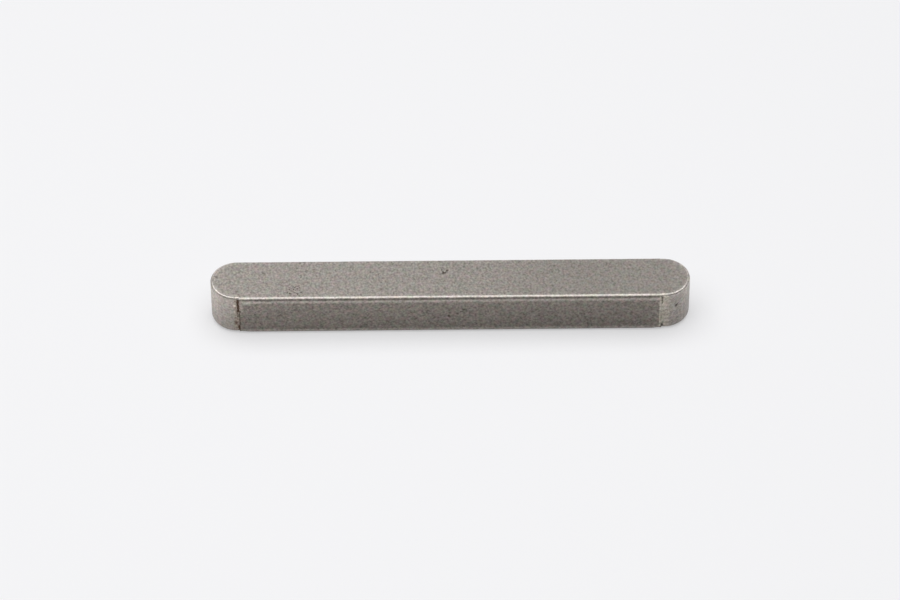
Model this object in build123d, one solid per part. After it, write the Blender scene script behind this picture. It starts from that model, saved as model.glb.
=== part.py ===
from build123d import *
import os

# A parallel key with two round ends, cut from cold drawn key steel.
# X runs along the key, Y across it and Z up, from the middle of the face it seats on.
# All sizes are in millimetres.

length = 70.0               # over the two round ends
width = 8.0                 # across the flanks that carry the torque
height = 7.0                # from the seat face to the top face
drawn_corner_radius = 0.4   # left by the drawing die along the two upper long edges
seat_edge_radius = 0.75     # left by the drawing die along the two lower long edges
upper_rim_radius = 0.35     # of the broken edge round the top of a half-round end
lower_rim_radius = 1.0      # of the tumbled edge round the foot of a half-round end
end_step = 0.13             # by which the milled ends stand back from each flank, on average
cutter_offset = 0.06        # by which the cutter ran off the middle line, towards the rear flank
end_radius = width / 2 - end_step
run_out_lead = 0.33         # of straight milled wall between a half-round and its run-out lines
overrun = 1.0               # of the cutter beyond the bar, where it cuts only air


def rounded_section(section_width, lower_radius, upper_radius):
    """A section as high as the key, standing on its lower side, with rounded corners."""
    section = Pos(0, height / 2) * Rectangle(section_width, height)
    section = fillet(section.vertices().group_by(Axis.Y)[0], lower_radius)
    return fillet(section.vertices().group_by(Axis.Y)[-1], upper_radius)


def drawn_bar():
    """The bar before its ends are milled: flat faces and four rounded edges."""
    left_end = Plane(origin=(-length / 2, 0, 0), x_dir=(0, 1, 0), z_dir=(1, 0, 0))
    return extrude(left_end * rounded_section(width, seat_edge_radius, drawn_corner_radius), amount=length)


def end_form(side, run_out_x):
    """What the cutter goes round at one end: a disc with a straight lead towards the middle of the key."""
    section = rounded_section(2 * end_radius, lower_rim_radius, upper_rim_radius)
    half_section = section & Pos(end_radius / 2, height / 2) * Rectangle(end_radius, height)
    disc = revolve(Plane.XZ * half_section, Axis.Z)
    center_x = side * (length / 2 - end_radius)
    lead_start = Plane(origin=(center_x, cutter_offset, 0), x_dir=(0, -side, 0), z_dir=(-side, 0, 0))
    lead = extrude(lead_start * section, amount=abs(center_x - run_out_x) + overrun)
    return lead + Pos(center_x, cutter_offset) * disc


def milled_waste(side):
    """What the cutter takes from one end, side being -1 for the left end and 1 for the right.

    It starts at the run-out lines, square across the bar, and leaves a small step there on both flanks.
    """
    run_out_x = side * (length / 2 - end_radius - run_out_lead)
    block_length = end_radius + run_out_lead + overrun
    block = Pos(run_out_x + side * block_length / 2, 0, height / 2) * Box(
        block_length,
        width + 2 * overrun,
        height + 2 * overrun,
    )
    return block - end_form(side, run_out_x)


def parallel_key():
    """The whole key: the drawn bar less what is milled from its two ends."""
    return drawn_bar() - milled_waste(-1) - milled_waste(1)


def main():
    os.makedirs("parts", exist_ok=True)
    export_step(parallel_key(), "parts/parallel_key.step")


if __name__ == "__main__":
    main()
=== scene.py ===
"""A parallel key of cold drawn steel, with its finish and a small studio.

Lengths are in metres. X runs along the key, Y across it towards the rear flank and Z up from the seat face.
"""

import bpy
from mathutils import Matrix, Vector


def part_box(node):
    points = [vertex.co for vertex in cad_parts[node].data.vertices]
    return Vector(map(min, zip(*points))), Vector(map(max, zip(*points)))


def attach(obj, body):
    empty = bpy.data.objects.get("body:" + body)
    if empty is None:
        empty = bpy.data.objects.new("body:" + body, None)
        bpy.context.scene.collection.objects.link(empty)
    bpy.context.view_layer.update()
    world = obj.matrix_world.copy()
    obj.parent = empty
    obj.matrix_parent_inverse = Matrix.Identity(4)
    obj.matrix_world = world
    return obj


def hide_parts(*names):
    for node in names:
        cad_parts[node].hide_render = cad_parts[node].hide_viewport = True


bl_info = {
    "name": "Parallel key",
    "version": (1, 0, 0),
    "blender": (4, 5, 0),
    "location": "3D View > Sidebar > Parallel key",
    "description": "Models the finished key and the studio round it",
    "category": "Add Mesh",
}

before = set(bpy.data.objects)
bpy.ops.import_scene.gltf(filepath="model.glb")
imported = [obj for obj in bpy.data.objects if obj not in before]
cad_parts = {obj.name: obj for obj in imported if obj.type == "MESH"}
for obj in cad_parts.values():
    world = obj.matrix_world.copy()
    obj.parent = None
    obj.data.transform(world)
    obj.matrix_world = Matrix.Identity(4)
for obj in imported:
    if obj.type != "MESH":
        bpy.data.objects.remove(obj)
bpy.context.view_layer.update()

import math
from collections import namedtuple

import bmesh
import bpy
from bpy.props import FloatProperty, FloatVectorProperty, IntProperty, PointerProperty
from mathutils import Matrix, Vector

CAD_NODE = "parallel_key"
LOW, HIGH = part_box(CAD_NODE)
MM = 0.001

# A mark is a pit (or a raised spot, where its depth is negative) at a place on the surface, in millimetres.
# Its stain is the share of the steel's colour that old dirt hides; where it is negative, the spot is lighter,
# as fresh metal with a painted highlight.
Mark = namedtuple("Mark", "x y z reach depth stain")
MARKS = (
    # a nick in two strokes in the middle of the top face
    Mark(-0.95, 1.2, 7.0, 0.36, 0.08, 1.0),
    Mark(-0.5, 1.7, 7.0, 0.24, 0.05, 0.8),
    Mark(-1.1, 2.4, 7.0, 0.2, 0.02, 0.4),
    # pits in the front flank
    Mark(-0.25, -4.0, 3.2, 0.32, 0.05, 1.0),
    Mark(1.05, -4.0, 3.6, 0.24, 0.04, 0.75),
    Mark(1.5, -4.0, 4.0, 0.22, 0.02, 0.6),
    Mark(1.95, -4.0, 4.5, 0.28, 0.04, 0.8),
    # burrs and a rust spot to the left of the left run-out line; the burrs are lighter fresh metal with a
    # painted highlight
    Mark(-31.45, -3.81, 5.5, 0.3, -0.03, -0.5),
    Mark(-31.42, -3.81, 4.25, 0.26, -0.03, -0.4),
    Mark(-31.36, -3.81, 2.1, 0.42, 0.04, 0.8),
    # a clot of dirt where the left run-out line jumps sideways
    Mark(-30.92, -3.85, 4.5, 0.46, 0.04, 0.95),
    # a wedge-shaped nick and a smudge in the right end
    Mark(32.9, -3.35, 4.5, 0.34, 0.08, 0.7),
    Mark(33.15, -3.3, 1.9, 0.3, 0.02, 0.2),
    # where the flank's foot is worn down beside the run-out lines
    Mark(-30.4, -3.85, 0.3, 1.1, 0.1, 0.0),
    Mark(30.4, -3.85, 0.3, 1.1, 0.1, 0.0),
)

# A groove is a ragged, stained line that the cutter left in the front wall, upright at x, in millimetres.
Groove = namedtuple("Groove", "x width low_z high_z depth stain")
GROOVES = (
    # the left run-out line, in stretches that don't line up
    Groove(-30.96, 0.24, 4.2, 6.7, 0.06, 0.95),
    Groove(-30.76, 0.12, -1.6, 4.4, 0.05, 0.48),
    Groove(-31.02, 0.1, 2.6, 4.3, 0.04, 0.55),
    Groove(-30.85, 0.24, -1.3, 1.6, 0.06, 0.95),
    # a scratch and a notch at the right run-out line
    Groove(30.84, 0.1, 5.3, 6.7, 0.03, 0.35),
    Groove(30.86, 0.2, 0.5, 1.2, 0.1, 0.8),
)

# A pitted patch is a round area, in millimetres, that corrosion has peppered with fine pits.
Patch = namedtuple("Patch", "x y z reach strength")
PATCHES = (
    Patch(-22.7, -2.4, 7.0, 1.5, 1.0),
    Patch(-28.8, -4.0, 5.2, 1.4, 0.4),
)

# Lengths below this count as none
HAIR = 0.01 * MM
# The share of a straight edge's length that has to lie along its axis
STRAIGHT = 0.999
# The most parts that an edge is divided into at once
MOST_PARTS = 100
# The cells of a ragged wall, as a share of the others
RAGGED_CELL = 0.6
# The cuts that are added to a cell where a mark is pressed
MARK_CUTS = 2
# Faces that meet at less than this are shaded as one surface
SMOOTH_BELOW = math.radians(35)

# How wide the swells of a surface are
RUN_OUT_SWELL = 0.5 * MM
GROOVE_SWELL = 0.35 * MM
GROOVE_FLOOR_SWELL = 0.3 * MM
FACE_SWELL = 1.6 * MM
EDGE_SWELL = 0.7 * MM
# How high those in the floor of a groove are, as a share of its depth
GROOVE_FLOOR_SHARE = 0.8

# The material works in millimetres. Each look of the steel fades in over a span: there is none of it at the
# first number, and all of it at the second.
# Spans inwards from the flanks and the walls of the ends
ON_WALL = (0.3, 0.1)
NEAR_WALL = (0.1, 0.05)
HALO = (0.9, 0.4)
# Spans from the top face or the seat face, whichever is nearer
FLANK_STARTS = (0.2, 0.4)
STRIP_STARTS = (0.42, 0.6)
# where the painted light below the right end's rim and below the drawn corners starts and ends
UNDER_RIM_STARTS = (0.1, 0.18)
UNDER_RIM_ENDS = (0.42, 0.3)
UNDER_CORNER_STARTS = (0.06, 0.12)
UNDER_CORNER_ENDS = (0.22, 0.15)
# where the painted dark line below the drawn corners starts and ends
SHADE_LINE_STARTS = (0.18, 0.25)
SHADE_LINE_ENDS = (0.55, 0.45)
# how near the faces the painted shade at the left tip lies
TIP_SHADE = (0.3, 0.15)
# Spans from the top face alone
UPPER_STRIP = (1.15, 0.7)
RUBBED_LEFT_TOP = (3.5, 1.5)
# Spans above the seat face
LOWER_STRIP = (1.1, 0.6)
LEFT_LIP_TOP = (3.5, 5.0)
END_FOOT = (3.0, 1.5)
CHATTER_ENDS = (5.3, 4.9)
# Spans as shares of an edge's radius, from the face and from the wall
CREST_BELOW_FACE = (0.65, 0.375)
CREST_FROM_WALL = (1.0, 0.7)
MILLED_WALL = (1.2, 0.97)
# Spans along the key
# where the painted shade at the left tip fades in
LEFT_TIP = (-34.5, -34.75)
# where the painted shade on the left end's wall fades in
LEFT_SHADE = (-34.6, -32.4)
LEFT_LIP = (-30.1, -30.5)
RUBBED_LEFT = (-27.0, -30.0)
RUBBED_RIGHT = (29.0, 30.2)
RIGHT_LIP_STARTS = (30.38, 30.48)
RIGHT_LIP_DULLS = (30.57, 30.66)
RIGHT_LIP_ENDS = (30.85, 30.75)
RUN_OUT_BAND = (31.95, 31.75)
TIP_BAND = (33.2, 34.2)
CHATTER = (32.1, 31.7)
# where the painted glint on the right end's rim starts and ends
GLINT_STARTS = (32.4, 32.9)
GLINT_ENDS = (34.4, 33.9)
COOL_TIP = (32.0, 33.0)
WORN = (20.0, 30.0)
WORN_TIP = (31.8, 32.6)
DARK_TOP = (4.0, 18.0)
CLEAN = (0.0, 20.0)
SMOOTHER = (5.0, 20.0)
# How the clouds of the surface are squeezed along each axis, so that their spots come out longer or flat
GRAIN_SQUEEZE = (1.0, 0.85, 1.0)
TOOL_LINE_SQUEEZE = (1.0, 1.0, 0.06)
UPRIGHT_ONLY = (0.0, 0.0, 1.0)
# How far the edges of the strips and the run-out lines wander
STRIP_WANDER = 0.35
LINE_WANDER = 0.25
# The size of the pits, as a share of the grain's
PIT_SIZE = 1.6
# Spans of the clouds that leave pits
PITS = (-0.14, -0.22)
PEPPER = (-0.075, -0.125)
RUST_SPECKS = (0.05, -0.1)
# How far the rust, on the left, and the oil, on the right, lie from the middle of the key, and their spans
# from there
DIRTY_LINE = 31.1
RUST = (0.8, 0.2)
OIL = (1.0, 0.5)
# Spans of the stain of a patch and of a mark, as shares of its reach
PATCH_REACH = (1.0, 0.6)
MARK_REACH = (1.1, 0.3)
# How far the stain of a groove spreads beyond its edge, stays full short of it, keeps off the seat face and
# fades at its foot and its top
GROOVE_SPREAD = 0.14
GROOVE_CORE = 0.04
GROOVE_FOOT = 0.1
GROOVE_FOOT_FADE = 0.25
GROOVE_TOP_FADE = 0.15
# The height of one of the dark chatter marks that the cutter left in the right end, and their distance
CHATTER_HEIGHT = 1.34
CHATTER_PITCH = 0.8375

# How bright the burnished parts are, from the skin's colour at 0 to the bright colour at 1, and by what share
# some are dulled
CREST_CORE = 0.86
CREST_HALO = 0.14
CREST_POLISH = 0.82
# painted highlight: the glint on the right end's rim
GLINT_POLISH = 0.18
UPPER_STRIP_POLISH = 0.56
LOWER_STRIP_POLISH = 0.65
# the right lip is a burr's edge: burnished, and lighter also as a painted highlight
RIGHT_LIP_POLISH = 1.1
RIGHT_LIP_DULLING = 0.4
LEFT_LIP_POLISH = 0.2
LEFT_LIP_TOP_POLISH = 0.3
RIGHT_WALL_DULLING = 0.25
# How much of the steel's colour pits and rust hide, and how much less the pits do where it is bright and to
# the right
PIT_STAIN = 0.4
RUST_STAIN = 0.4
POLISHED_OFF = 0.6
CLEANED_OFF = 0.4
# How light the middle of the top face is, how much painted shade darkens the steel with each millimetre to
# the right, and by what share it is lighter or darker elsewhere, partly as painted shade and painted light
MIDDLE_LEVEL = 1.01
DARKER_PER_MM = 0.0032
WORN_LIGHTER = 0.06
WORN_TIP_LIGHTER = 0.05
# painted shade on the top face, from the middle rightwards
TOP_DARKER = 0.06
# painted shade on the flanks: darker at the seat face, lighter towards the top
FLANK_RISE = 0.39
FLANK_FOOT_DARKER = 0.235
RUBBED_LIGHTER = 0.18
RUBBED_RIGHT_SHARE = 0.6
# painted shade on the left end's wall, away from its tip
LEFT_END_DARKER = 0.19
RUN_OUT_BAND_LIGHTER = 0.19
TIP_BAND_LIGHTER = 0.14
END_FOOT_LIGHTER = 0.08
RIGHT_END_DARKER = 0.15
CHATTER_LIGHTER = 0.14
# painted light below the right end's rim and below the drawn corners
UNDER_RIM_LIGHTER = 0.55
UNDER_CORNER_LIGHTER = 0.34
# painted shade in a line below the drawn corners
SHADE_LINE_DARKER = 0.08
# painted shade at the left tip
LEFT_TIP_DARKER = 0.3
# painted highlights on the crests of the right and the left end
GLINT_LIGHTER = 0.4
LEFT_CREST_LIGHTER = 0.2
PATCHY = 0.08
TOOL_LINES_LIGHTER = 0.35
# How strong the grain is on the top face, what the walls add, and what it loses to the right and where the
# steel is bright
TOP_GRAIN = 0.88
WALL_GRAIN = 0.12
RIGHT_GRAIN_LOSS = 0.07
BRIGHT_GRAIN_LOSS = 0.25
# How much the small spots differ in hue, and how warm the walls are
ROSE_RED = 0.3
ROSE_GREEN = 0.12
ROSE_BLUE = 0.08
BLUE_SPOTS = 0.3
FLANK_MOTTLE = 0.6
MILLED_MOTTLE_LOSS = 0.5
WARMTH = 0.025
TIP_WARMTH_LOSS = 0.4
WARM_BLUE_LOSS = 1.2
RUST_HUE = 0.05
# How stains and grain change the gloss and the relief
GRAIN_ROUGHNESS = 0.25
STAIN_ROUGHNESS = 0.3
STAIN_METAL_LOSS = 0.8
BRIGHT_RELIEF_LOSS = 0.5
STAIN_RELIEF = 2.0
TOOL_LINE_RELIEF = 0.5
# How far the grain makes the edge of a stain ragged
MARK_RAGGED = 0.6
GROOVE_RAGGED = 0.4

# The room: how far backwards a mirrored ray points where the pale wall fades in, and two colours
WALL_RISES = (-0.1, 0.3)
BACKDROP_COLOR = (0.91, 0.91, 0.92, 1)
GLOW_COLOR = (1.0, 1.0, 1.01, 1)


class KeySizes(bpy.types.PropertyGroup):
    """Sizes of the key, the first three taken from the frame."""

    length: FloatProperty(
        name="Length",
        description="Over the two half-round ends",
        default=round(HIGH.x - LOW.x, 4),
        unit="LENGTH",
    )
    width: FloatProperty(
        name="Width",
        description="Across the flanks",
        default=round(HIGH.y - LOW.y, 4),
        unit="LENGTH",
    )
    height: FloatProperty(
        name="Height",
        description="From the seat face to the top face",
        default=round(HIGH.z - LOW.z, 4),
        unit="LENGTH",
    )
    drawn_corner_radius: FloatProperty(
        name="Drawn corner radius",
        description="Left by the drawing die along the two upper long edges",
        default=0.4 * MM,
        unit="LENGTH",
    )
    seat_edge_radius: FloatProperty(
        name="Seat edge radius",
        description="Left by the drawing die along the two lower long edges",
        default=0.75 * MM,
        unit="LENGTH",
    )
    upper_rim_radius: FloatProperty(
        name="Upper rim radius",
        description="Of the broken edge round the top of a half-round end",
        default=0.35 * MM,
        unit="LENGTH",
    )
    left_rim_radius: FloatProperty(
        name="Left rim radius",
        description="Of the edge round the top of the left end, which was left sharper",
        default=0.28 * MM,
        unit="LENGTH",
    )
    lower_rim_radius: FloatProperty(
        name="Lower rim radius",
        description="Of the tumbled edge round the foot of a half-round end",
        default=0.88 * MM,
        unit="LENGTH",
    )
    end_step: FloatProperty(
        name="End step",
        description="By which the milled ends stand back from each flank, on average",
        default=0.13 * MM,
        unit="LENGTH",
    )
    cutter_offset: FloatProperty(
        name="Cutter offset",
        description="By which the cutter ran off the middle line, towards the rear flank",
        default=0.06 * MM,
        unit="LENGTH",
    )
    run_out: FloatProperty(
        name="Run-out",
        description="How far from the middle of the key the cutter left the flanks",
        default=30.8 * MM,
        unit="LENGTH",
    )
    overrun: FloatProperty(
        name="Overrun",
        description="Of the bar and the cutter beyond each other while the key is being made",
        default=1.0 * MM,
        unit="LENGTH",
    )
    lean: FloatProperty(
        name="Lean",
        description="By which the top of the right end stands nearer to the front than its foot",
        default=0.12 * MM,
        unit="LENGTH",
    )
    proud: FloatProperty(
        name="Proud",
        description="By which a tool body stands proud of a face that it must not cut",
        default=0.002 * MM,
        unit="LENGTH",
    )
    cell: FloatProperty(
        name="Cell",
        description="Width of the small cells into which the faces are divided",
        default=0.2 * MM,
        unit="LENGTH",
    )
    edge_steps: IntProperty(
        name="Edge steps",
        description="Facets across each rounded edge",
        default=8,
    )
    round_steps: IntProperty(
        name="Round steps",
        description="Facets round a whole turn of a half-round end",
        default=240,
    )


class KeyFinish(bpy.types.PropertyGroup):
    """Colours, gloss and unevenness of the steel."""

    skin_color: FloatVectorProperty(
        name="Skin colour",
        description="Of the dull skin that drawing leaves",
        default=(0.222, 0.205, 0.187),
        subtype="COLOR",
        min=0.0,
        max=1.0,
    )
    bright_color: FloatVectorProperty(
        name="Bright colour",
        description="Of the corners that the die burnishes and of the milled walls",
        default=(0.425, 0.400, 0.375),
        subtype="COLOR",
        min=0.0,
        max=1.0,
    )
    dirt_color: FloatVectorProperty(
        name="Dirt colour",
        description="Of the rust and old oil at the left run-out line",
        default=(0.09, 0.045, 0.02),
        subtype="COLOR",
        min=0.0,
        max=1.0,
    )
    grime_color: FloatVectorProperty(
        name="Grime colour",
        description="Of the spots and pits away from the left run-out line",
        default=(0.068, 0.05, 0.038),
        subtype="COLOR",
        min=0.0,
        max=1.0,
    )
    skin_roughness: FloatProperty(
        name="Skin roughness",
        description="Of the drawn skin",
        default=0.55,
        min=0.0,
        max=1.0,
    )
    corner_roughness: FloatProperty(
        name="Corner roughness",
        description="Of the burnished corners",
        default=0.45,
        min=0.0,
        max=1.0,
    )
    milled_roughness: FloatProperty(
        name="Milled roughness",
        description="Of the milled walls of the ends",
        default=0.48,
        min=0.0,
        max=1.0,
    )
    grain_size: FloatProperty(
        name="Grain size",
        description="Of the small spots in the skin",
        default=0.32 * MM,
        unit="LENGTH",
    )
    grain_depth: FloatProperty(
        name="Grain depth",
        description="Of the small spots in the skin",
        default=0.008 * MM,
        unit="LENGTH",
    )
    grain_contrast: FloatProperty(
        name="Grain contrast",
        description="How much lighter or darker than the skin the small spots are",
        default=2.2,
        min=0.0,
        max=4.0,
    )
    waviness: FloatProperty(
        name="Waviness",
        description="Height of the slow swells in every face",
        default=0.012 * MM,
        unit="LENGTH",
    )
    corner_waviness: FloatProperty(
        name="Corner waviness",
        description="Height of the swells along the rounded edges",
        default=0.05 * MM,
        unit="LENGTH",
    )
    ragged: FloatProperty(
        name="Ragged",
        description="How far a run-out line wanders",
        default=0.1 * MM,
        unit="LENGTH",
    )


class StudioSizes(bpy.types.PropertyGroup):
    """Places of the camera and lights."""

    camera_distance: FloatProperty(
        name="Camera distance",
        description="From the point that the camera looks at",
        default=700.26 * MM,
        unit="LENGTH",
    )
    camera_elevation: FloatProperty(
        name="Camera elevation",
        description="Above the floor",
        default=math.radians(44.133),
        subtype="ANGLE",
    )
    camera_turn: FloatProperty(
        name="Camera turn",
        description="Round the key, from square in front of it",
        default=math.radians(-0.4325),
        subtype="ANGLE",
    )
    camera_roll: FloatProperty(
        name="Camera roll",
        description="About the line of sight",
        default=math.radians(-0.2348),
        subtype="ANGLE",
    )
    camera_lens: FloatProperty(
        name="Camera lens",
        description="Focal length, in millimetres, on a sensor 36 mm wide",
        default=191.508,
    )
    aim: FloatVectorProperty(
        name="Aim",
        description="Where the camera looks, from the middle of the key",
        default=(-0.063 * MM, -0.939 * MM, 0.0),
        subtype="TRANSLATION",
    )
    floor_size: FloatProperty(
        name="Floor size",
        description="Length of each side of the floor",
        default=8.0,
        unit="LENGTH",
    )
    floor_color: FloatVectorProperty(
        name="Floor colour",
        description="Of the matt floor",
        default=(0.505, 0.505, 0.515),
        subtype="COLOR",
        min=0.0,
        max=1.0,
    )
    floor_glow: FloatProperty(
        name="Floor glow",
        description="Light that comes through the floor",
        default=0.375,
    )
    box_place: FloatVectorProperty(
        name="Softbox place",
        description="Of the overhead softbox",
        default=(-0.05, 0.0, 0.6),
        subtype="TRANSLATION",
    )
    box_size: FloatProperty(
        name="Softbox size",
        description="Length of each side of the overhead softbox",
        default=0.84,
        unit="LENGTH",
    )
    box_power: FloatProperty(
        name="Softbox power",
        description="Of the overhead softbox, in watts",
        default=5.3,
    )
    room_light: FloatProperty(
        name="Room light",
        description="That falls from everywhere else",
        default=0.15,
    )
    wall_light: FloatProperty(
        name="Wall light",
        description="Of the pale wall behind the key, as the steel mirrors it",
        default=0.9,
    )


class Signal:
    """A value in a node tree, on which arithmetic adds Math nodes."""

    def __init__(self, recipe, socket):
        self.recipe = recipe
        self.socket = socket

    def calculate(self, operation, first, second):
        """Adds a Math node, whose values may be signals or numbers."""
        return self.recipe.node("ShaderNodeMath", {"operation": operation}, {0: first, 1: second})

    def __add__(self, other):
        return self.calculate("ADD", self, other)

    __radd__ = __add__

    def __sub__(self, other):
        return self.calculate("SUBTRACT", self, other)

    def __rsub__(self, other):
        return self.calculate("SUBTRACT", other, self)

    def __mul__(self, other):
        return self.calculate("MULTIPLY", self, other)

    __rmul__ = __mul__

    def __truediv__(self, other):
        return self.calculate("DIVIDE", self, other)

    def __pow__(self, other):
        return self.calculate("POWER", self, other)

    def __gt__(self, other):
        return self.calculate("GREATER_THAN", self, other)

    def __abs__(self):
        return self.calculate("ABSOLUTE", self, 0.0)

    def sine(self):
        return self.calculate("SINE", self, 0.0)


class Recipe:
    """The nodes of one material or of the world."""

    def __init__(self, tree):
        self.tree = tree
        tree.nodes.clear()

    def node(self, kind, settings=None, values=None, output=0):
        """Adds a node: first its settings, then the values or links of its sockets."""
        made = self.tree.nodes.new(kind)
        for name, value in (settings or {}).items():
            setattr(made, name, value)
        for name, value in (values or {}).items():
            if isinstance(value, Signal):
                self.tree.links.new(value.socket, made.inputs[name])
            else:
                made.inputs[name].default_value = value
        return Signal(self, made.outputs[output]) if made.outputs else None

    def lower(self, first, second):
        return self.node("ShaderNodeMath", {"operation": "MINIMUM"}, {0: first, 1: second})

    def higher(self, first, second):
        return self.node("ShaderNodeMath", {"operation": "MAXIMUM"}, {0: first, 1: second})

    def fade(self, value, zero_at, one_at):
        """Rises smoothly from 0 to 1 as a value goes from one limit to the other, either way round."""
        return self.node(
            "ShaderNodeMapRange",
            {"interpolation_type": "SMOOTHSTEP"},
            {"Value": value, "From Min": zero_at, "From Max": one_at},
        )

    def vector(self, operation, first, second=None, scale=None, output=0):
        """Adds a Vector Math node, whose values may be signals or tuples."""
        values = {0: first}
        if second is not None:
            values[1] = second
        if scale is not None:
            values["Scale"] = scale
        return self.node("ShaderNodeVectorMath", {"operation": operation}, values, output)

    def noise(self, place, size, seed, detail=2.0):
        """Clouds between -0.5 and 0.5 whose spots are about as wide as a size, in the unit of the place."""
        return self.node(
            "ShaderNodeTexNoise",
            {"noise_dimensions": "4D"},
            {"Vector": place, "W": seed, "Scale": 1 / size, "Detail": detail},
        ) - 0.5

    def mix(self, share, first, second):
        """A colour between two, from the first at 0 to the second at 1."""
        return self.node(
            "ShaderNodeMix",
            {"data_type": "RGBA"},
            {0: share, 6: first, 7: second},
            output=2,
        )


def deselect_all():
    bpy.ops.object.select_all(action="DESELECT")


def make_active(piece):
    deselect_all()
    piece.select_set(True)
    bpy.context.view_layer.objects.active = piece


def choose(kind, test):
    """Selects the vertices, edges or faces of the mesh in edit mode that pass a test of their place."""
    mesh_data = bpy.context.object.data
    bpy.ops.mesh.select_mode(type={"verts": "VERT", "edges": "EDGE", "faces": "FACE"}[kind])
    bpy.ops.mesh.select_all(action="DESELECT")
    mesh = bmesh.from_edit_mesh(mesh_data)
    chosen = [part for part in getattr(mesh, kind) if test(part)]
    for part in chosen:
        part.select_set(True)
    bmesh.update_edit_mesh(mesh_data)
    if not chosen:
        raise RuntimeError(f"none of the {kind} of {bpy.context.object.name} are where they should be")


def runs_along(axis, at_least=0.0):
    """A test for straight edges along one axis (0, 1 or 2) that are longer than a given length."""

    def test(edge):
        run = edge.verts[1].co - edge.verts[0].co
        return abs(run[axis]) > STRAIGHT * run.length and run.length > at_least

    return test


def add_block(name, low, high):
    """A cuboid from its lowest to its highest corner, left in edit mode."""
    deselect_all()
    low, high = Vector(low), Vector(high)
    bpy.ops.mesh.primitive_cube_add(size=1, location=(low + high) / 2, scale=high - low)
    bpy.ops.object.transform_apply(location=True, scale=True)
    block = bpy.context.object
    block.name = name
    bpy.ops.object.mode_set(mode="EDIT")
    return block


def divide(axis, edge_length, cell, at_least=0.0):
    """Divides the edges along one axis into cells, in two rounds where one can't make that many cuts."""
    parts = math.ceil(edge_length / cell)
    first = math.ceil(math.sqrt(parts)) if parts > MOST_PARTS else parts
    choose("edges", runs_along(axis, at_least))
    bpy.ops.mesh.subdivide(number_cuts=first - 1)
    if first < parts:
        choose("edges", runs_along(axis, at_least / first))
        bpy.ops.mesh.subdivide(number_cuts=math.ceil(parts / first) - 1)


def finish_with(piece, kind, **settings):
    """Adds a modifier to a piece and applies it."""
    make_active(piece)
    modifier = piece.modifiers.new(kind.lower(), kind)
    for name, value in settings.items():
        setattr(modifier, name, value)
    bpy.ops.object.modifier_apply(modifier=modifier.name)


def combine(piece, tool, operation):
    """Unites, cuts or intersects a piece with a tool body, which is used up."""
    finish_with(piece, "BOOLEAN", operation=operation, solver="EXACT", object=tool)
    bpy.data.objects.remove(tool)


def swell(piece, height, size, direction="NORMAL", group=""):
    """Moves the surface up and down by clouds of a given height and size."""
    clouds = bpy.data.textures.new("clouds", "CLOUDS")
    clouds.noise_scale = size
    clouds.noise_depth = 2
    finish_with(
        piece,
        "DISPLACE",
        texture=clouds,
        texture_coords="LOCAL",
        direction=direction,
        mid_level=0.5,
        strength=height,
        vertex_group=group,
    )


def weigh(piece, name, weight):
    """Gives every vertex of a piece a weight, from 0 to 1, in a new vertex group."""
    group = piece.vertex_groups.new(name=name)
    for vertex in piece.data.vertices:
        share = weight(vertex.co)
        if share > 0:
            group.add([vertex.index], min(share, 1.0), "REPLACE")
    return group.name


def is_level(edge):
    """A test for the edges that run round the top or the foot of a piece."""
    return abs(edge.verts[0].co.z - edge.verts[1].co.z) < HAIR


def round_edges(sizes, radius, test, at_top):
    """Rounds the chosen edges of the upper or the lower half of the piece in edit mode."""
    middle = sizes.height / 2
    choose("edges", lambda edge: test(edge) and (min(v.co.z for v in edge.verts) > middle) == at_top)
    bpy.ops.mesh.bevel(offset=radius, segments=sizes.edge_steps, profile=0.5, affect="EDGES")


def add_drawn_bar(sizes):
    """The bar as the die leaves it, a little longer than the key."""
    half_length = sizes.length / 2 + sizes.overrun
    half_width = sizes.width / 2
    bar = add_block(
        "drawn_bar", (-half_length, -half_width, 0), (half_length, half_width, sizes.height)
    )
    for radius, at_top in ((sizes.drawn_corner_radius, True), (sizes.seat_edge_radius, False)):
        round_edges(sizes, radius, runs_along(0), at_top)
    divide(0, 2 * half_length, sizes.cell)
    divide(1, sizes.width, sizes.cell, at_least=half_width)
    divide(2, sizes.height, sizes.cell, at_least=sizes.height / 2)
    bpy.ops.object.mode_set(mode="OBJECT")
    return bar


def add_end_form(sizes, side):
    """What the cutter leaves standing at one end, its rims broken: a disc with a straight lead."""
    end_radius = sizes.width / 2 - sizes.end_step
    center_x = side * (sizes.length / 2 - end_radius)
    deselect_all()
    bpy.ops.mesh.primitive_cylinder_add(
        vertices=sizes.round_steps,
        radius=end_radius,
        depth=sizes.height + 2 * sizes.proud,
        location=(center_x, sizes.cutter_offset, sizes.height / 2),
    )
    bpy.ops.object.transform_apply(location=True)
    form = bpy.context.object
    bpy.ops.object.mode_set(mode="EDIT")
    upper_radius = sizes.upper_rim_radius if side > 0 else sizes.left_rim_radius
    for radius, at_top in ((upper_radius, True), (sizes.lower_rim_radius, False)):
        round_edges(sizes, radius, is_level, at_top)
    divide(2, sizes.height, sizes.cell, at_least=sizes.height / 2)
    choose("verts", lambda vertex: side * (vertex.co.x - center_x) < -HAIR)
    bpy.ops.transform.translate(value=(-side * 2 * sizes.overrun, 0, 0))
    if side > 0:
        choose("verts", lambda vertex: vertex.co.z > sizes.height)
        bpy.ops.transform.resize(
            value=(1, 1 + sizes.lean / (2 * end_radius), 1),
            center_override=(center_x, sizes.cutter_offset + end_radius, sizes.height),
            use_proportional_edit=True,
            proportional_edit_falloff="LINEAR",
            proportional_size=sizes.height,
        )
    bpy.ops.object.mode_set(mode="OBJECT")
    finish_with(form, "TRIANGULATE")
    return form


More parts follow.
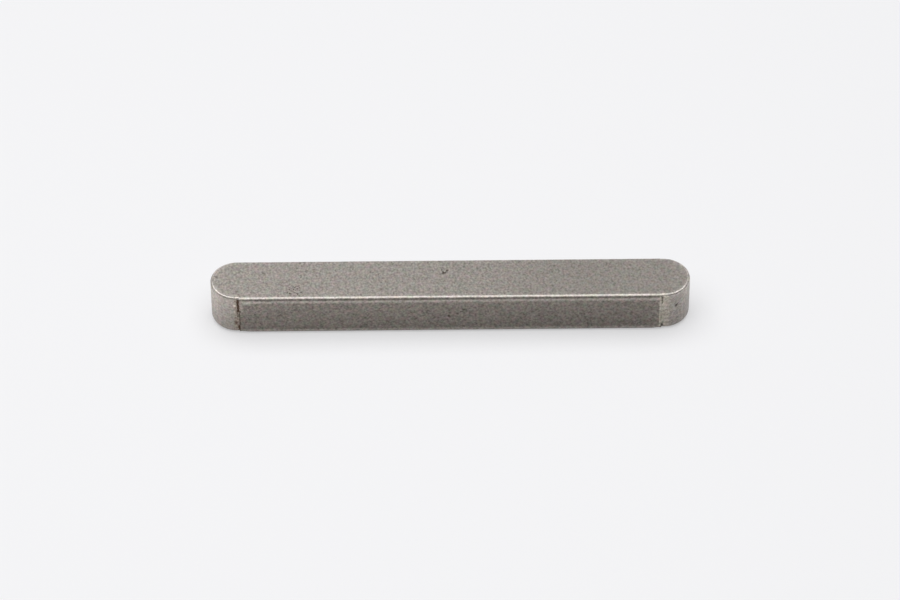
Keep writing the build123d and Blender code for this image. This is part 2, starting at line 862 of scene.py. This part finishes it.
def add_kept_middle(sizes, finish):
    """The stretch of bar between the run-out lines, which wander as the cutter left them."""
    side = sizes.width / 2 + sizes.overrun
    top = sizes.height + sizes.overrun
    kept = add_block("kept", (-sizes.run_out, -side, -sizes.overrun), (sizes.run_out, side, top))
    divide(2, top + sizes.overrun, RAGGED_CELL * sizes.cell)
    bpy.ops.object.mode_set(mode="OBJECT")
    swell(kept, finish.ragged, RUN_OUT_SWELL, direction="X")
    finish_with(kept, "TRIANGULATE")
    return kept


def cut_groove(kept, sizes, finish, groove):
    """A ragged groove in the front wall, where the cutter ran out."""
    wall = sizes.end_step + sizes.cutter_offset - sizes.width / 2
    half = groove.width * MM / 2
    tool = add_block(
        "groove",
        (groove.x * MM - half, -sizes.width / 2 - sizes.overrun, groove.low_z * MM),
        (groove.x * MM + half, wall + groove.depth * MM, groove.high_z * MM),
    )
    divide(2, (groove.high_z - groove.low_z) * MM, RAGGED_CELL * sizes.cell)
    bpy.ops.object.mode_set(mode="OBJECT")
    swell(tool, finish.ragged, GROOVE_SWELL, direction="X")
    swell(tool, GROOVE_FLOOR_SHARE * groove.depth * MM, GROOVE_FLOOR_SWELL, direction="Y")
    finish_with(tool, "TRIANGULATE")
    combine(kept, tool, "DIFFERENCE")


def mill_ends(bar, sizes, finish):
    """Leaves the bar only between the run-out lines and inside the two end forms."""
    kept = add_kept_middle(sizes, finish)
    for side in (-1, 1):
        combine(kept, add_end_form(sizes, side), "UNION")
    for groove in GROOVES:
        cut_groove(kept, sizes, finish, groove)
    combine(bar, kept, "INTERSECT")


def make_uneven(key, sizes, finish):
    """Adds the slow swells that a drawn and milled surface has."""
    near_edge = sizes.drawn_corner_radius + sizes.cell

    def edge_weight(place):
        from_face = min(place.z, sizes.height - place.z)
        past = max(abs(place.x) - (sizes.length - sizes.width) / 2, 0.0)
        from_wall = max(sizes.width / 2 - math.hypot(past, place.y), 0.0)
        return max(1 - from_face / near_edge, 0.0) * max(1 - from_wall / near_edge, 0.0)

    swell(key, finish.waviness, FACE_SWELL)
    swell(key, finish.corner_waviness, EDGE_SWELL, group=weigh(key, "edges", edge_weight))


def press_mark(key, mark, sizes):
    """Sinks a mark into the surface, over finer cells."""
    place = Vector((mark.x, mark.y, mark.z)) * MM
    reach = mark.reach * MM
    choose("faces", lambda face: (face.calc_center_median() - place).length < reach + sizes.cell)
    bpy.ops.mesh.subdivide(number_cuts=MARK_CUTS)
    mesh = bmesh.from_edit_mesh(key.data)
    nearest = min(mesh.verts, key=lambda vertex: (vertex.co - place).length)
    middle, inwards = nearest.co.copy(), -nearest.normal
    choose("verts", lambda vertex: vertex.co == middle)
    bpy.ops.transform.translate(
        value=inwards * mark.depth * MM,
        use_proportional_edit=True,
        use_proportional_connected=True,
        proportional_edit_falloff="SMOOTH",
        proportional_size=reach,
    )


class KEY_OT_model_key(bpy.types.Operator):
    """Models the finished key"""

    bl_idname = "parallel_key.model_key"
    bl_label = "Model key"

    def execute(self, context):
        sizes = context.scene.key_sizes
        finish = context.scene.key_finish
        key = add_drawn_bar(sizes)
        mill_ends(key, sizes, finish)
        key.name = key.data.name = "finished_key"
        make_uneven(key, sizes, finish)
        make_active(key)
        bpy.ops.object.mode_set(mode="EDIT")
        for mark in MARKS:
            press_mark(key, mark, sizes)
        bpy.ops.object.mode_set(mode="OBJECT")
        bpy.ops.object.shade_smooth_by_angle(angle=SMOOTH_BELOW)
        key.data.materials.clear()
        key.data.materials.append(drawn_steel(sizes, finish))
        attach(key, "root")
        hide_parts(CAD_NODE)
        return {"FINISHED"}


class Surface:
    """Where each point of the key lies, in millimetres, and on which of its parts."""

    def __init__(self, recipe, sizes):
        height = sizes.height / MM
        half_width = sizes.width / 2 / MM
        end_radius = half_width - sizes.end_step / MM
        end_center = sizes.length / 2 / MM - end_radius
        center_y = sizes.cutter_offset / MM
        drawn_radius = sizes.drawn_corner_radius / MM
        lean_share = sizes.lean / MM / (2 * end_radius * height)

        meters = recipe.node("ShaderNodeTexCoord", output="Object")
        place = recipe.vector("SCALE", meters, scale=1 / MM)
        x = recipe.node("ShaderNodeSeparateXYZ", values={0: place}, output="X")
        y = recipe.node("ShaderNodeSeparateXYZ", values={0: place}, output="Y")
        z = recipe.node("ShaderNodeSeparateXYZ", values={0: place}, output="Z")
        right = x > 0.0
        milled_end = abs(x) > sizes.run_out / MM
        past = recipe.higher(abs(x) - end_center, 0.0)
        leaning = (center_y + end_radius - y) * lean_share * z * right
        across = y + (leaning - center_y) * milled_end
        step = (half_width - end_radius) * milled_end
        rim = (sizes.left_rim_radius + (sizes.upper_rim_radius - sizes.left_rim_radius) * right) / MM

        self.place = place
        self.x = x
        self.z = z
        self.height = height
        self.right = right
        self.front = 1 - (y > 0.0)
        self.milled_end = milled_end
        self.from_top = height - z
        self.from_face = recipe.lower(z, height - z)
        self.from_wall = half_width - step - (past * past + across * across) ** 0.5
        self.on_wall = recipe.fade(self.from_wall, *ON_WALL)
        self.on_flank = self.on_wall * recipe.fade(self.from_face, *FLANK_STARTS)
        self.rim = rim
        self.edge_radius = drawn_radius + (rim - drawn_radius) * milled_end
        self.rust = self.front * recipe.fade(abs(x + DIRTY_LINE), *RUST)
        self.oil = self.front * recipe.fade(abs(x - DIRTY_LINE), *OIL)


# How much of each burnished part there is at a point of the surface, mostly from 0 to 1, with the painted
# glint on the right end's rim and the painted shade at the left tip.
Polish = namedtuple("Polish", "crest left_tip glint corner milled bright")


def find_polish(recipe, on):
    """The burnished corners, the strips and lips beside them and the milled walls, with the painted glint on
    the right end's rim and the painted shade at the left tip.
    """
    wander = STRIP_WANDER * recipe.noise(on.place, size=0.5, seed=7.0)
    radius = on.edge_radius
    # Painted shade at the left tip: its crest is taken away and its rim darkened
    left_tip = recipe.fade(on.x, *LEFT_TIP)
    crest = recipe.fade(on.from_face, *(share * radius for share in CREST_BELOW_FACE)) * (
        CREST_CORE * recipe.fade(on.from_wall, *(share * radius for share in CREST_FROM_WALL))
        + CREST_HALO * recipe.fade(on.from_wall, *HALO)
    )
    crest = crest * (1 - left_tip)
    upper_strip = recipe.fade(on.from_top + wander, *UPPER_STRIP)
    upper_strip = upper_strip * recipe.fade(on.from_face, *STRIP_STARTS)
    lower_strip = recipe.fade(on.z + wander, *LOWER_STRIP)
    strip = recipe.higher(UPPER_STRIP_POLISH * upper_strip, LOWER_STRIP_POLISH * lower_strip)
    strip = strip * recipe.fade(on.from_wall, *NEAR_WALL)
    # The lip beside the right run-out line is a burr's edge: burnished metal, made lighter also as a painted
    # highlight
    right_lip = (
        RIGHT_LIP_POLISH
        * recipe.fade(on.x, *RIGHT_LIP_STARTS)
        * (1 - RIGHT_LIP_DULLING * recipe.fade(on.x, *RIGHT_LIP_DULLS))
        * recipe.fade(on.x, *RIGHT_LIP_ENDS)
    )
    left_lip = (
        recipe.fade(on.x, *LEFT_LIP)
        * (1 - on.milled_end)
        * (LEFT_LIP_POLISH + LEFT_LIP_TOP_POLISH * recipe.fade(on.z, *LEFT_LIP_TOP))
    )
    lip = on.front * (right_lip + left_lip * (1 - on.right)) * recipe.fade(on.from_wall, *NEAR_WALL)
    wall = on.milled_end * recipe.fade(on.from_wall, *(share * on.rim for share in MILLED_WALL))
    milled = recipe.higher(wall, lip)
    # Painted highlight on the right end's rim
    glint = recipe.fade(on.x, *GLINT_STARTS) * recipe.fade(on.x, *GLINT_ENDS)
    corner = recipe.higher((CREST_POLISH + GLINT_POLISH * glint) * crest, strip)
    bright = recipe.higher(corner, milled * (1 - RIGHT_WALL_DULLING * on.right))
    return Polish(crest, left_tip, glint, corner, milled, bright)


def find_dirt(recipe, on, grain, grain_size, bright):
    """How much of the steel dirt hides, and how much brighter the burrs are, as fresh metal with a painted
    highlight.
    """
    pits = recipe.noise(on.place, size=PIT_SIZE * grain_size, seed=2.0, detail=1.0)
    fine_pits = recipe.noise(on.place, size=0.28, seed=14.0, detail=1.0)
    upright = recipe.vector("MULTIPLY", on.place, UPRIGHT_ONLY)
    wander = LINE_WANDER * recipe.noise(upright, size=0.4, seed=9.0)
    stain = (
        PIT_STAIN
        * recipe.fade(pits, *PITS)
        * (1 - POLISHED_OFF * bright)
        * (1 - CLEANED_OFF * recipe.fade(on.x, *CLEAN))
    )
    for patch in PATCHES:
        away = recipe.vector("DISTANCE", on.place, (patch.x, patch.y, patch.z), output="Value")
        reach = (share * patch.reach for share in PATCH_REACH)
        peppered = recipe.fade(away, *reach) * recipe.fade(fine_pits, *PEPPER)
        stain = recipe.higher(stain, patch.strength * peppered)
    burr_highlight = 0.0
    # Burrs: lighter fresh metal, with a painted highlight
    for mark in MARKS:
        if mark.stain == 0:
            continue
        away = recipe.vector("DISTANCE", on.place, (mark.x, mark.y, mark.z), output="Value")
        reach = (share * mark.reach for share in MARK_REACH)
        spot = recipe.fade(away + MARK_RAGGED * grain, *reach) * abs(mark.stain)
        if mark.stain > 0:
            stain = recipe.higher(stain, spot)
        else:
            burr_highlight = recipe.higher(spot, burr_highlight)
    for groove in GROOVES:
        half = groove.width / 2
        beside = abs(on.x - groove.x + wander)
        line = recipe.fade(beside + GROOVE_RAGGED * grain, half + GROOVE_SPREAD, half - GROOVE_CORE)
        foot = max(groove.low_z, GROOVE_FOOT)
        stretch = recipe.fade(on.z, foot, foot + GROOVE_FOOT_FADE)
        stretch = stretch * recipe.fade(
            on.z, groove.high_z + GROOVE_TOP_FADE, groove.high_z - GROOVE_TOP_FADE
        )
        stain = recipe.higher(stain, groove.stain * line * stretch * on.front)
    specks = RUST_STAIN * on.rust * on.on_flank * recipe.fade(fine_pits, *RUST_SPECKS)
    return recipe.higher(stain, specks), burr_highlight


def find_shade(recipe, on, polish):
    """How light the steel is over the length and height of the key, about 1 in the middle of its top, much of
    it painted shade and painted light.
    """
    worn = WORN_LIGHTER * recipe.fade(on.x, *WORN) + WORN_TIP_LIGHTER * recipe.fade(on.x, *WORN_TIP)
    # Painted shade: the steel darker with each millimetre to the right, and the top face darker still from
    # the middle rightwards
    painted_top_shade = recipe.fade(on.x, *DARK_TOP) * (1 - on.on_flank)
    level_and_painted_shade = MIDDLE_LEVEL - DARKER_PER_MM * on.x + worn - TOP_DARKER * painted_top_shade
    # Painted shade on the flanks: darker at the seat face, lighter towards the top
    painted_flank_shade = 1 + (FLANK_RISE * on.z / on.height - FLANK_FOOT_DARKER) * on.on_flank
    at_left = recipe.fade(on.x, *RUBBED_LEFT) * recipe.fade(on.from_top, *RUBBED_LEFT_TOP)
    at_right = RUBBED_RIGHT_SHARE * recipe.fade(on.x, *RUBBED_RIGHT)
    rubbed = recipe.higher(at_left, at_right) * on.on_flank * (1 - polish.milled)
    # Painted shade: the left end's wall darker away from its tip, which faces the light
    left_shade = recipe.fade(on.x, *LEFT_SHADE) * (1 - on.right) * polish.milled
    shade = level_and_painted_shade + polish.crest * (1 - level_and_painted_shade)
    shade = shade * painted_flank_shade * (1 + RUBBED_LIGHTER * rubbed) * (1 - LEFT_END_DARKER * left_shade)

    # the wall of the right end
    band = (
        RUN_OUT_BAND_LIGHTER * recipe.fade(on.x, *RUN_OUT_BAND)
        + TIP_BAND_LIGHTER * recipe.fade(on.x, *TIP_BAND)
        + END_FOOT_LIGHTER * recipe.fade(on.z, *END_FOOT)
        - RIGHT_END_DARKER
    )
    waves = ((on.z - CHATTER_HEIGHT) * (2 * math.pi / CHATTER_PITCH) - math.pi / 2).sine()
    chatter = waves * recipe.fade(on.x, *CHATTER) * recipe.fade(on.z, *CHATTER_ENDS)
    shade = shade * (1 + (band + CHATTER_LIGHTER * chatter) * polish.milled * on.right)

    # painted light and shade just below the rims and the drawn corners and at the left tip, and painted
    # highlights on the crests
    drawn = 1 - on.milled_end
    # Painted light just below the right end's rim and the drawn corners
    painted_light_under_rim = (
        on.milled_end
        * on.right
        * recipe.fade(on.from_face, *UNDER_RIM_STARTS)
        * recipe.fade(on.from_face, *UNDER_RIM_ENDS)
    )
    painted_light_under_corner = (
        drawn
        * recipe.fade(on.from_face, *UNDER_CORNER_STARTS)
        * recipe.fade(on.from_face, *UNDER_CORNER_ENDS)
    )
    # Painted shade: a dark line on the flanks below the drawn corners, where the steel mirrors the dim room
    painted_shade_line = drawn * recipe.fade(on.from_face, *SHADE_LINE_STARTS) * recipe.fade(on.from_face, *SHADE_LINE_ENDS)
    # Painted highlights on the crests of the ends
    painted_crest_highlight = GLINT_LIGHTER * polish.glint + LEFT_CREST_LIGHTER * on.milled_end * (1 - on.right)
    shade = shade * (1 - LEFT_TIP_DARKER * polish.left_tip * recipe.fade(on.from_face, *TIP_SHADE))
    return shade * (
        1
        + UNDER_RIM_LIGHTER * painted_light_under_rim
        + UNDER_CORNER_LIGHTER * painted_light_under_corner
        - SHADE_LINE_DARKER * painted_shade_line
        + painted_crest_highlight * polish.crest
    )


def find_hue(recipe, on, milled):
    """The hue of the small spots and of the whole, by which the steel's colour is multiplied."""
    rose = recipe.noise(on.place, size=0.8, seed=4.0)
    blue = recipe.noise(on.place, size=0.7, seed=5.0)
    mottled = 1 + FLANK_MOTTLE * on.on_flank - MILLED_MOTTLE_LOSS * milled
    warmth = WARMTH * on.on_wall * (1 - TIP_WARMTH_LOSS * recipe.fade(on.x, *COOL_TIP))
    return recipe.node(
        "ShaderNodeCombineColor",
        values={
            "Red": 1 + ROSE_RED * rose * mottled + warmth + RUST_HUE * on.rust * on.on_flank,
            "Green": 1 - ROSE_GREEN * rose * mottled,
            "Blue": (
                1
                + ROSE_BLUE * rose * mottled
                + BLUE_SPOTS * blue
                - WARM_BLUE_LOSS * warmth
                - RUST_HUE * (on.rust + on.oil) * on.on_flank
            ),
        },
    )


def drawn_steel(sizes, finish):
    """Dull drawn skin, with burnished corners, milled end walls, pits and old dirt, and painted shade and
    painted highlights in its colour.
    """
    material = bpy.data.materials.new("drawn_steel")
    material.use_nodes = True
    recipe = Recipe(material.node_tree)
    on = Surface(recipe, sizes)
    grain_size = finish.grain_size / MM
    across = recipe.vector("MULTIPLY", on.place, GRAIN_SQUEEZE)
    grain = recipe.noise(across, size=grain_size, seed=1.0, detail=3.0)
    patches = recipe.noise(on.place, size=1.8, seed=3.0, detail=3.0)
    upright = recipe.vector("MULTIPLY", on.place, TOOL_LINE_SQUEEZE)
    tool_lines = recipe.noise(upright, size=0.5, seed=6.0)
    polish = find_polish(recipe, on)
    corner, milled, bright = polish.corner, polish.milled, polish.bright
    stain, burr_highlight = find_dirt(recipe, on, grain, grain_size, bright)

    fineness = (
        TOP_GRAIN
        + WALL_GRAIN * on.on_wall
        - RIGHT_GRAIN_LOSS * recipe.fade(on.x, *SMOOTHER) * (1 - on.on_wall)
    )
    grained = finish.grain_contrast * grain * (1 - BRIGHT_GRAIN_LOSS * bright) * fineness
    speckled = 1 + grained + PATCHY * patches + TOOL_LINES_LIGHTER * tool_lines * milled + burr_highlight
    tone = speckled * find_shade(recipe, on, polish)
    metal = recipe.mix(bright, (*finish.skin_color, 1), (*finish.bright_color, 1))
    tinted = recipe.vector("MULTIPLY", metal, find_hue(recipe, on, milled))
    toned = recipe.vector("SCALE", tinted, scale=tone)
    dirt = recipe.mix(on.rust, (*finish.grime_color, 1), (*finish.dirt_color, 1))

    roughness = (
        finish.skin_roughness
        + (finish.corner_roughness - finish.skin_roughness) * corner
        + (finish.milled_roughness - finish.skin_roughness) * milled * (1 - corner)
        + GRAIN_ROUGHNESS * grain
        + STAIN_ROUGHNESS * stain
    )
    relief = (
        grain * (1 - BRIGHT_RELIEF_LOSS * bright)
        - STAIN_RELIEF * stain
        + TOOL_LINE_RELIEF * tool_lines * milled
    )
    bump = recipe.node(
        "ShaderNodeBump",
        values={"Strength": 1.0, "Distance": finish.grain_depth, "Height": relief},
    )
    steel = recipe.node(
        "ShaderNodeBsdfPrincipled",
        values={
            "Base Color": recipe.mix(stain, toned, dirt),
            "Metallic": 1 - STAIN_METAL_LOSS * stain,
            "Roughness": roughness,
            "Normal": bump,
        },
    )
    recipe.node("ShaderNodeOutputMaterial", values={"Surface": steel})
    return material


class KEY_OT_set_stage(bpy.types.Operator):
    """Lays the floor and sets up the lights and the camera"""

    bl_idname = "parallel_key.set_stage"
    bl_label = "Set stage"

    def execute(self, context):
        studio = context.scene.studio_sizes
        lay_floor(studio)
        hang_light("softbox", studio.box_place, studio.box_size, studio.box_power)
        light_room(studio)
        place_camera(studio)
        context.scene.view_settings.view_transform = "Standard"
        return {"FINISHED"}


def lay_floor(studio):
    """A matt pale floor."""
    deselect_all()
    bpy.ops.mesh.primitive_plane_add(size=studio.floor_size)
    floor = bpy.context.object
    floor.name = "floor"
    paint = bpy.data.materials.new("matt_floor")
    paint.use_nodes = True
    recipe = Recipe(paint.node_tree)
    matt = recipe.node(
        "ShaderNodeBsdfPrincipled",
        values={
            "Base Color": (*studio.floor_color, 1),
            "Roughness": 1.0,
            "Specular IOR Level": 0.0,
            "Emission Color": GLOW_COLOR,
            "Emission Strength": studio.floor_glow,
        },
    )
    recipe.node("ShaderNodeOutputMaterial", values={"Surface": matt})
    floor.data.materials.append(paint)


def hang_light(name, place, size, power):
    """A square light that faces the key and that the camera doesn't see."""
    lamp = bpy.data.lights.new(name, "AREA")
    lamp.shape = "SQUARE"
    lamp.size = size
    lamp.energy = power
    light = bpy.data.objects.new(name, lamp)
    light.location = place
    light.rotation_euler = Vector(place).to_track_quat("Z", "Y").to_euler()
    light.visible_camera = False
    bpy.context.scene.collection.objects.link(light)


def light_room(studio):
    """A dim room with a pale wall behind the key, for the steel to mirror, and a pale backdrop."""
    world = bpy.data.worlds.new("studio")
    bpy.context.scene.world = world
    world.use_nodes = True
    recipe = Recipe(world.node_tree)
    seen = recipe.node("ShaderNodeLightPath", output="Is Camera Ray")
    mirrored = recipe.node("ShaderNodeLightPath", output="Is Glossy Ray")
    direction = recipe.node("ShaderNodeTexCoord", output="Generated")
    backwards = recipe.node("ShaderNodeSeparateXYZ", values={0: direction}, output="Y")
    wall = mirrored * recipe.fade(backwards, *WALL_RISES)
    strength = studio.room_light + (studio.wall_light - studio.room_light) * wall
    dim = recipe.node("ShaderNodeBackground", values={"Color": (1, 1, 1, 1), "Strength": strength})
    pale = recipe.node("ShaderNodeBackground", values={"Color": BACKDROP_COLOR})
    room = recipe.node("ShaderNodeMixShader", values={0: seen, 1: dim, 2: pale})
    recipe.node("ShaderNodeOutputWorld", values={"Surface": room})


def place_camera(studio):
    """The camera, in front of the key and above it."""
    lens = bpy.data.cameras.new("camera")
    lens.lens = studio.camera_lens
    lens.sensor_width = 36
    lens.clip_start = 0.01
    lens.clip_end = 10
    camera = bpy.data.objects.new("camera", lens)
    bpy.context.scene.collection.objects.link(camera)
    bpy.context.scene.camera = camera
    turn = Matrix.Rotation(studio.camera_turn, 4, "Z")
    tilt = Matrix.Rotation(math.pi / 2 - studio.camera_elevation, 4, "X")
    roll = Matrix.Rotation(studio.camera_roll, 4, "Z")
    aim = (LOW + HIGH) / 2 + Vector(studio.aim)
    away = (turn @ tilt).to_3x3() @ Vector((0, 0, studio.camera_distance))
    camera.matrix_world = Matrix.Translation(aim + away) @ turn @ tilt @ roll


class KEY_PT_panel(bpy.types.Panel):
    """Lists the sizes and the steps"""

    bl_idname = "KEY_PT_panel"
    bl_label = "Parallel key"
    bl_space_type = "VIEW_3D"
    bl_region_type = "UI"
    bl_category = "Parallel key"

    def draw(self, context):
        scene = context.scene
        for group in (scene.key_sizes, scene.key_finish, scene.studio_sizes):
            for name in group.__annotations__:
                self.layout.prop(group, name)
        self.layout.operator("parallel_key.model_key")
        self.layout.operator("parallel_key.set_stage")


CLASSES = (KeySizes, KeyFinish, StudioSizes, KEY_OT_model_key, KEY_OT_set_stage, KEY_PT_panel)


def register():
    for cls in CLASSES:
        bpy.utils.register_class(cls)
    bpy.types.Scene.key_sizes = PointerProperty(type=KeySizes)
    bpy.types.Scene.key_finish = PointerProperty(type=KeyFinish)
    bpy.types.Scene.studio_sizes = PointerProperty(type=StudioSizes)


def unregister():
    del bpy.types.Scene.studio_sizes
    del bpy.types.Scene.key_finish
    del bpy.types.Scene.key_sizes
    for cls in reversed(CLASSES):
        bpy.utils.unregister_class(cls)


def main():
    register()
    bpy.ops.parallel_key.model_key()
    bpy.ops.parallel_key.set_stage()


if __name__ == "__main__":
    main()
